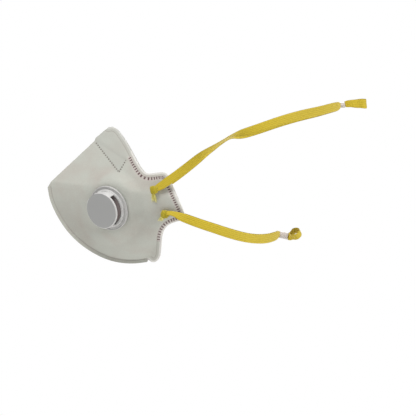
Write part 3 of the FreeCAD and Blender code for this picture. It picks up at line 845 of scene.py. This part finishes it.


# knots: a knuckle of gathered elastic outside the tab, a smaller one inside and a neck between them;
# each lump has its radius, half its thickness and how far it stands off the panel's face. The knot colours
# are painted shade, darker than the strap's
knotShape = {"outer": (3.9, 2.4, 3.9), "inner": (2.9, 2.0, -5.2), "neck": (1.0, 4.0, -0.9),
             "shift": (-0.5, -0.4), "gathers": 9, "rows": 34, "turns": 60, "square": 3.2,
             "colour": toLinear(184, 166, 30), "groove": toLinear(100, 84, 2)}
frayShape = {"threads": 26, "steps": 8, "sides": 6, "spread": 4.8, "root": 2.4}
# the knots' elastic is the strap's elastic made darker, painted shade of the gathered knot
shadedKnotElastic = elasticMaterial("shadedKnotElastic", 3.0, 0.9, knotShape)
frayedThread = feltMaterial("frayedThread", toLinear(240, 230, 130), toLinear(240, 238, 200), 2500.0, 0.6)


# a rounded square lump with gathers that run round it
def lump(centre, radius, high, seed):
    rng = random.Random(seed)
    phases = [rng.uniform(0, 6.28) for _ in range(4)]
    points = []
    values = {"bandAlong": [], "bandAcross": []}
    rows = knotShape["rows"]
    turns = knotShape["turns"]
    power = knotShape["square"]
    for i in range(rows + 1):
        tilt = math.pi * i / rows
        for k in range(turns):
            turn = 2 * math.pi * k / turns
            square = 1 / (abs(math.cos(turn)) ** power + abs(math.sin(turn)) ** power) ** (1 / power)
            r = math.sin(tilt) ** 0.75 * (0.55 + 0.45 * square)
            x = r * math.cos(turn)
            z = r * math.sin(turn)
            gather = 0.05 * math.cos(x * knotShape["gathers"] + 1.4 * z + phases[0])
            crease = 0.07 * math.sin(2.4 * z + phases[1]) * math.cos(1.7 * x + phases[2])
            y = math.cos(tilt) * (1 + gather * 1.6 + crease)
            grow = radius * (1 + gather + 0.04 * math.sin(3 * turn + phases[3]))
            points.append(((centre[0] + grow * x) * mm, (centre[1] + high * y) * mm,
                           (centre[2] + grow * z * 0.97) * mm))
            values["bandAlong"].append(z * radius)
            values["bandAcross"].append(x)
    return points, tubeFaces(rows + 1, turns, capped=False), values


def buildKnot(level, label, side, x, z, seed):
    surface = float(halfAt(np.array([[x, z]]))[0])
    parts = []
    for part, shift, extra in (("outer", knotShape["shift"], 0), ("inner", (0, 0), 5), ("neck", (0, 0), 9)):
        radius, high, stand = knotShape[part]
        centre = (x + shift[0], side * (surface + stand), z + shift[1])
        parts.append(lump(centre, radius, high, seed + extra))
    points, faces, values = mergeParts(parts)
    piece = newPiece(level + "_knuckle_" + label, points, faces, shadedKnotElastic, values)
    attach(piece, level + "_band")
    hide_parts(level + "_knot_" + label)


def threadTube(line, radii):
    points = []
    sides = frayShape["sides"]
    for at, r in zip(line, radii):
        for k in range(sides):
            a = 2 * math.pi * k / sides
            points.append((at[0] + r * math.cos(a), at[1] + r * math.sin(a), at[2]))
    return points, tubeFaces(len(line), sides), {}


# the cut end of the elastic below its knot, opened into threads
def buildFray(level, label, side, x, z, length, lean, root, seed):
    rng = random.Random(seed)
    parts = []
    steps = frayShape["steps"]
    for i in range(frayShape["threads"]):
        share = i / (frayShape["threads"] - 1) - 0.5
        near = share * frayShape["root"]
        reach = length * rng.uniform(0.7, 1.05)
        spread = share * frayShape["spread"] + rng.uniform(-0.5, 0.5)
        stand = rng.uniform(0.7, 1.8)
        line = []
        for k in range(steps + 1):
            t = k / steps
            line.append((x + root[0] + lean * t + near + (spread - near) * t ** 1.6
                         + 0.2 * math.sin(7 * t + i), z + root[1] - reach * t))
        rise = halfAt(np.array(line)) + stand
        line = [(px * mm, side * (py + 0.25 * math.sin(0.6 * k + i)) * mm, pz * mm)
                for k, ((px, pz), py) in enumerate(zip(line, rise))]
        radii = [rng.uniform(0.17, 0.25) * (1 - 0.5 * k / steps) * mm for k in range(steps + 1)]
        parts.append(threadTube(line, radii))
    points, faces, _ = mergeParts(parts)
    piece = newPiece(level + "_fray_" + label, points, faces, frayedThread)
    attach(piece, "mask")


for level, length, lean, root, seed in (("upper", 9.0, 1.4, (-1.5, -2.6), 3),
                                        ("lower", 4.4, -1.6, (-3.0, -2.2), 11)):
    for label, side in (("left", -1), ("right", 1)):
        buildKnot(level, label, side, *strapHoles[level], seed + side)
        buildFray(level, label, side, *strapHoles[level], length, lean, root, seed * 7 + side)
print("knots built")

# moulded pieces keep their shape from the frame and get their finishes here
# the cap's lighter wall colour is a painted highlight on its wall, edges and ring
valveLook = {"cap": toLinear(162, 162, 161), "wall": toLinear(206, 205, 203), "body": toLinear(192, 191, 189),
             "dust": toLinear(120, 110, 106), "plateAt": 0.0095, "plateFacing": 0.97}


# how far a position or a normal reaches along the valve's axis
def alongValve(tree, source):
    node = addNode(tree, "ShaderNodeVectorMath", operation="DOT_PRODUCT")
    link(tree, source, node.inputs[0])
    node.inputs[1].default_value = valveWay
    return node.outputs["Value"]


# the cap keeps a darker colour on its flat face; its wall, edges and ring are painted lighter as a painted
# highlight
def capMaterial():
    material = plasticMaterial("capPlastic", valveLook["wall"], valveLook["dust"], 0.45, 2600.0, 0.5)
    tree = material.node_tree
    shader = tree.nodes["Principled BSDF"]
    middle = Vector((valveShape["x"], -valveDepth, valveShape["z"])) * mm
    high = alongValve(tree, addNode(tree, "ShaderNodeTexCoord").outputs["Object"])
    facing = alongValve(tree, addNode(tree, "ShaderNodeNewGeometry").outputs["True Normal"])
    plate = times(tree, calc(tree, "GREATER_THAN", high, middle.dot(Vector(valveWay)) + valveLook["plateAt"]),
                  calc(tree, "GREATER_THAN", facing, valveLook["plateFacing"]))
    source = shader.inputs["Base Color"].links[0].from_socket
    link(tree, mixColour(tree, plate, source, valveLook["cap"]), shader.inputs["Base Color"])
    return material


body = valveLook["body"]
dust = valveLook["dust"]
finishes = {
    "valve_cover": capMaterial(),
    "valve_base": plasticMaterial("seatPlastic", body, dust, 0.5, 2600.0, 0.5),
    "valve_retainer": plasticMaterial("ringPlastic", body, dust, 0.5, 2400.0, 0.4),
    "flap_clamp": plasticMaterial("clampPlastic", body, dust, 0.5, 2400.0, 0.4),
    "valve_flap": plasticMaterial("flapRubber", toLinear(146, 134, 133), toLinear(110, 98, 94), 0.55,
                                  1800.0, 0.1),
    "nose_clip": plasticMaterial("clipMetal", toLinear(205, 206, 208), toLinear(150, 150, 152), 0.35, 1500.0,
                                 0.4, metallic=1.0),
    "upper_adjuster": plasticMaterial("tubePlastic", toLinear(198, 189, 183), toLinear(172, 160, 154), 0.3,
                                      1800.0, 0.3, 0.1, coat=0.2)}
finishes["lower_adjuster"] = finishes["upper_adjuster"]
for node, material in finishes.items():
    for slot in bpy.data.objects[node].material_slots:
        slot.material = material
print("finishes placed")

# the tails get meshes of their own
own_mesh(upperLoop)
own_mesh(lowerLoop)

# floor and light
floorShape = {"left": -0.8, "right": 0.9, "front": -0.8, "back": 0.36, "z": -0.26}
corners = [(floorShape[a], floorShape[b], floorShape["z"])
           for a, b in (("left", "front"), ("right", "front"), ("right", "back"), ("left", "back"))]
floorMesh = bpy.data.meshes.new("floor")
floorMesh.from_pydata(corners, [], [(0, 1, 2, 3)])
floorMaterial, _, floorShader = newMaterial("paleFloor")
floorShader.inputs["Base Color"].default_value = (0.86, 0.86, 0.85, 1)
floorShader.inputs["Roughness"].default_value = 0.8
floorMesh.materials.append(floorMaterial)
floor = bpy.data.objects.new("floor", floorMesh)
scene.collection.objects.link(floor)

light = {"fill": 0.26, "seen": 1.0}
world = bpy.data.worlds.new("studio")
world.use_nodes = True
scene.world = world
worldTree = world.node_tree
backdrop = worldTree.nodes["Background"]
backdrop.inputs["Color"].default_value = (1, 1, 1, 1)
seen = addNode(worldTree, "ShaderNodeLightPath").outputs["Is Camera Ray"]
strength = plus(worldTree, times(worldTree, seen, light["seen"] - light["fill"]), light["fill"])
link(worldTree, strength, backdrop.inputs["Strength"])
scene.view_settings.view_transform = "Standard"


def areaLight(name, at, aim, size, power):
    data = bpy.data.lights.new(name, "AREA")
    data.shape = "DISK"
    data.size = size
    data.energy = power
    lamp = bpy.data.objects.new(name, data)
    lamp.location = at
    lamp.rotation_euler = (Vector(aim) - Vector(at)).to_track_quat("-Z", "Y").to_euler()
    scene.collection.objects.link(lamp)


areaLight("keyLight", (-0.45, -0.60, 1.15), (0.02, -0.03, 0.0), 0.6, 15.5)
areaLight("sideLight", (1.6, -0.55, 0.45), (0.12, -0.03, 0.0), 0.8, 18.0)
areaLight("frontLight", (-0.3, -1.5, 0.0), (0.05, -0.03, 0.0), 0.9, 2.0)
areaLight("backLight", (0.3, 0.9, 0.7), (0.05, 0.0, 0.0), 0.8, 6.0)
print("light placed")
